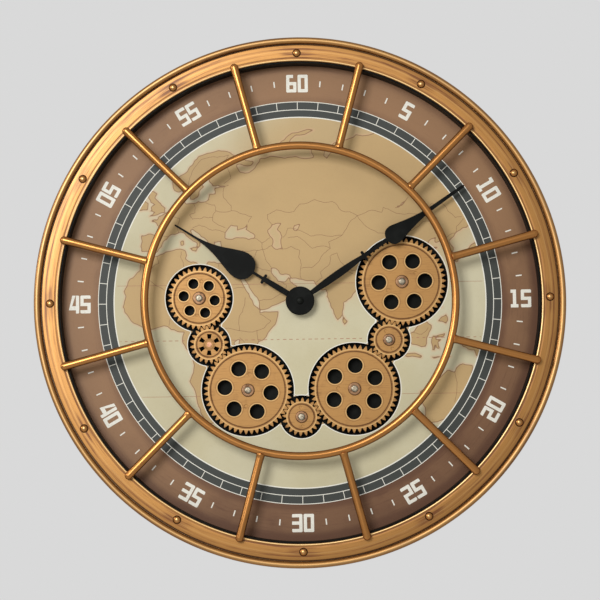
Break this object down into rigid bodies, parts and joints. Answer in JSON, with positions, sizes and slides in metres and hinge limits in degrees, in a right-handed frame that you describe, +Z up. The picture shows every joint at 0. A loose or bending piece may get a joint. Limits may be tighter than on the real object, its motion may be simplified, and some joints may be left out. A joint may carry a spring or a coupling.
{
  "type": "wall clock with moving gears",
  "caption": "Large round skeleton wall clock with a raised cage of rods, a map dial, exposed meshing gears and a quartz movement.",
  "frame": {"origin": "where the clock's axis meets the wall plane, at the centre of the case's rear edge", "axes": "+Z up to the 60 mark, -Y out of the dial towards the viewer, +Y into the wall, +X to the viewer's right"},
  "size_m": [0.6, 0.071, 0.6],
  "materials": {
    "case_gold": "brushed antique gold paint",
    "bezel_gold": "brushed antique gold paint with brown patina",
    "cage_copper": "satin copper gold paint",
    "bright_steel": "zinc plated",
    "black_paint": "satin black paint",
    "grey_steel": "turned steel",
    "dial_fibreboard": "raw fibreboard",
    "dial_paper": "printed matt laminate",
    "hardboard": "brown hardboard",
    "gear_bronze": "antique bronze lacquer",
    "cap_bronze": "antique bronze plate",
    "black_plastic": "moulded",
    "white_plastic": "moulded acetal",
    "yellow_brass": "turned brass",
    "washer_rubber": "soft",
    "coil_copper": "enamelled copper winding",
    "pin_bronze": "turned bronze",
    "cell_wrap": "plain printed wrap",
    "red_plastic": "moulded"
  },
  "bodies": {
    "root": {"case_rim": "case_gold", "bezel_ring": "bezel_gold", "bezel_rivets": "cage_copper", "cage_ring": "cage_copper", "cage_rod_01": "cage_copper", "cage_rod_02": "cage_copper", "cage_rod_03": "cage_copper", "cage_rod_04": "cage_copper", "cage_rod_05": "cage_copper", "cage_rod_06": "cage_copper", "cage_rod_07": "cage_copper", "cage_rod_08": "cage_copper", "cage_rod_09": "cage_copper", "cage_rod_10": "cage_copper", "cage_rod_11": "cage_copper", "cage_rod_12": "cage_copper", "rod_nuts": "bright_steel", "reveal_ring": "black_paint", "dial_board": "dial_fibreboard", "dial_print": "dial_paper", "frame_posts": "grey_steel", "gear_plate": "black_paint", "plate_spacers": "black_paint", "plate_screws": "bright_steel", "rear_cover": "hardboard", "cover_screws": "bright_steel", "hanger_plate": "bright_steel", "gear_posts": "bright_steel", "cap_washers": "cap_bronze", "gear_screws": "bright_steel", "movement_case": "black_plastic", "movement_cover": "black_plastic", "center_bushing": "yellow_brass", "bushing_nut": "yellow_brass", "rubber_washer": "washer_rubber", "step_motor": "coil_copper", "movement_battery": "cell_wrap", "battery_contacts": "bright_steel", "drive_housing": "black_plastic", "drive_cover": "black_plastic", "drive_motor": "grey_steel", "drive_batteries": "cell_wrap"},
    "minute_work": {"minute_hand": "black_paint", "hand_nut": "grey_steel", "center_wheel": "yellow_brass"},
    "hour_work": {"hour_hand": "black_paint", "hour_wheel": "white_plastic"},
    "minute_wheel": {"minute_wheel": "white_plastic"},
    "setting_knob": {"setting_knob": "white_plastic"},
    "gear_lower_right": {"gear_lower_right": "gear_bronze"},
    "gear_upper_right": {"gear_upper_right": "gear_bronze"},
    "pinion_right": {"pinion_right": "gear_bronze"},
    "pinion_bottom": {"pinion_bottom": "gear_bronze"},
    "gear_lower_left": {"gear_lower_left": "gear_bronze"},
    "drive_shaft": {"pinion_left": "gear_bronze", "drive_shaft": "pin_bronze"},
    "gear_upper_left": {"gear_upper_left": "gear_bronze"},
    "reduction_wheel": {"reduction_wheel": "white_plastic"},
    "motor_pinion": {"motor_pinion": "white_plastic"},
    "power_switch": {"power_switch": "red_plastic"}
  },
  "joints": [
    {"name": "minute_turn", "type": "hinge", "parent": "root", "child": "minute_work", "pos_m": [0, 0, 0], "axis": [0, 1, 0], "continuous": true},
    {"name": "hour_turn", "type": "hinge", "parent": "root", "child": "hour_work", "pos_m": [0, 0, 0], "axis": [0, 1, 0], "continuous": true},
    {"name": "minute_wheel_turn", "type": "hinge", "parent": "root", "child": "minute_wheel", "pos_m": [-0.00849, 0, 0.00849], "axis": [0, 1, 0], "continuous": true},
    {"name": "setting_knob_turn", "type": "hinge", "parent": "root", "child": "setting_knob", "pos_m": [-0.00849, 0, 0.02049], "axis": [0, 1, 0], "continuous": true},
    {"name": "gear_lower_right_turn", "type": "hinge", "parent": "root", "child": "gear_lower_right", "pos_m": [0.06053, 0, -0.10002], "axis": [0, 1, 0], "continuous": true},
    {"name": "gear_upper_right_turn", "type": "hinge", "parent": "root", "child": "gear_upper_right", "pos_m": [0.11638, 0, 0.02111], "axis": [0, 1, 0], "continuous": true},
    {"name": "pinion_right_turn", "type": "hinge", "parent": "root", "child": "pinion_right", "pos_m": [0.1005, 0, -0.04501], "axis": [0, 1, 0], "continuous": true},
    {"name": "pinion_bottom_turn", "type": "hinge", "parent": "root", "child": "pinion_bottom", "pos_m": [0, 0, -0.131], "axis": [0, 1, 0], "continuous": true},
    {"name": "gear_lower_left_turn", "type": "hinge", "parent": "root", "child": "gear_lower_left", "pos_m": [-0.06053, 0, -0.10002], "axis": [0, 1, 0], "continuous": true},
    {"name": "drive_shaft_turn", "type": "hinge", "parent": "root", "child": "drive_shaft", "pos_m": [-0.10388, 0, -0.04763], "axis": [0, 1, 0], "continuous": true},
    {"name": "gear_upper_left_turn", "type": "hinge", "parent": "root", "child": "gear_upper_left", "pos_m": [-0.11474, 0, 0.00527], "axis": [0, 1, 0], "continuous": true},
    {"name": "reduction_wheel_turn", "type": "hinge", "parent": "root", "child": "reduction_wheel", "pos_m": [-0.09138, 0, -0.04763], "axis": [0, 1, 0], "continuous": true},
    {"name": "motor_pinion_turn", "type": "hinge", "parent": "root", "child": "motor_pinion", "pos_m": [-0.08055, 0, -0.04138], "axis": [0, 1, 0], "continuous": true},
    {"name": "power_switch_slide", "type": "slide", "parent": "root", "child": "power_switch", "axis": [1, 0, 0], "range_m": [0, 0.004]}
  ],
  "couplings": [
    {"joint": "hour_turn", "follows": "minute_turn", "ratio": 0.083333},
    {"joint": "minute_wheel_turn", "follows": "minute_turn", "ratio": -0.33333},
    {"joint": "setting_knob_turn", "follows": "minute_turn", "ratio": 1},
    {"joint": "pinion_right_turn", "follows": "gear_lower_right_turn", "ratio": -2.4},
    {"joint": "pinion_bottom_turn", "follows": "gear_lower_right_turn", "ratio": -2.4},
    {"joint": "gear_upper_right_turn", "follows": "gear_lower_right_turn", "ratio": 1},
    {"joint": "gear_lower_left_turn", "follows": "gear_lower_right_turn", "ratio": 1},
    {"joint": "drive_shaft_turn", "follows": "gear_lower_right_turn", "ratio": -2.4},
    {"joint": "gear_upper_left_turn", "follows": "gear_lower_right_turn", "ratio": 1.4118},
    {"joint": "reduction_wheel_turn", "follows": "gear_lower_right_turn", "ratio": 9.6},
    {"joint": "motor_pinion_turn", "follows": "gear_lower_right_turn", "ratio": -38.4}
  ]
}
